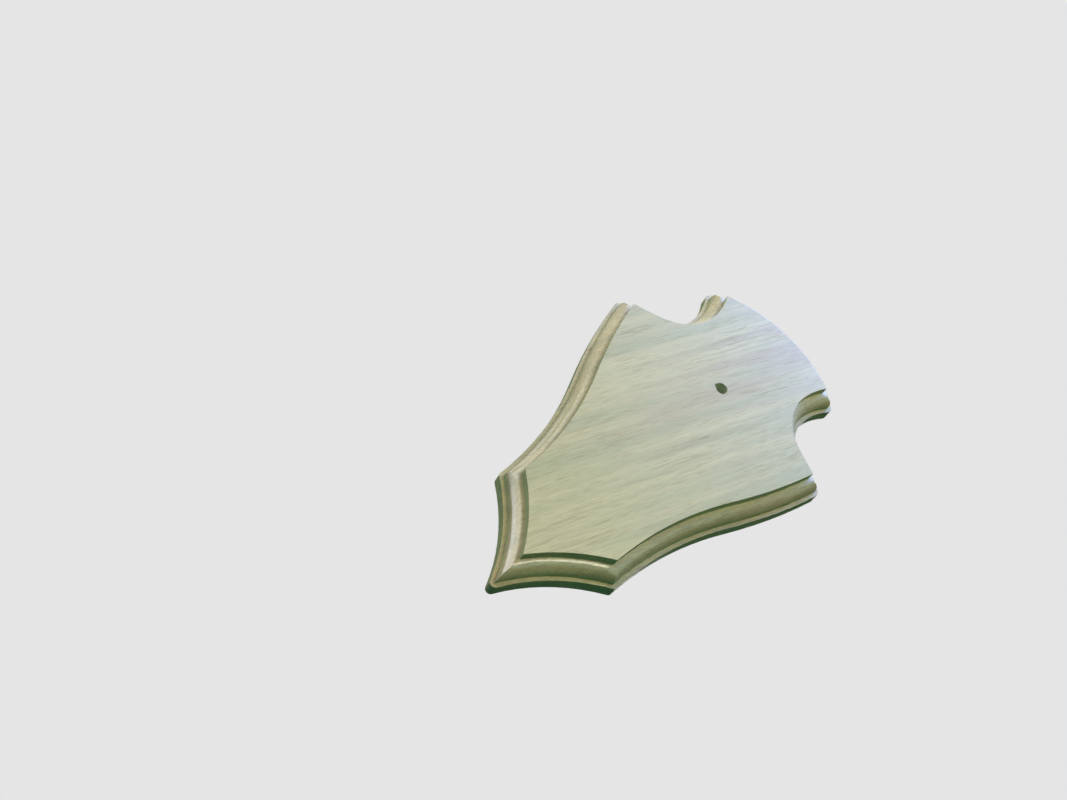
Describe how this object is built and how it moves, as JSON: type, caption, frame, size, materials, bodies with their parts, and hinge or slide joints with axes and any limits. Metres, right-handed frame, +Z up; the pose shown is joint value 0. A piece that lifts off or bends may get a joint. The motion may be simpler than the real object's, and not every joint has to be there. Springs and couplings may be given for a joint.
{
  "type": "antler mounting plaque",
  "caption": "Pointed, shield-shaped oak board with a stepped quarter-round moulded edge and a countersunk screw hole, for mounting antlers on a wall.",
  "frame": {"origin": "on the flat back, on the board's middle line, half way up the flat field of the front", "axes": "+Z up along the board, +Y out of the back into the wall, +X to the right as seen from the front"},
  "size_m": [0.1218, 0.015, 0.2204],
  "materials": {
    "oak": "satin"
  },
  "bodies": {
    "root": {"plaque": "oak"}
  },
  "joints": []
}
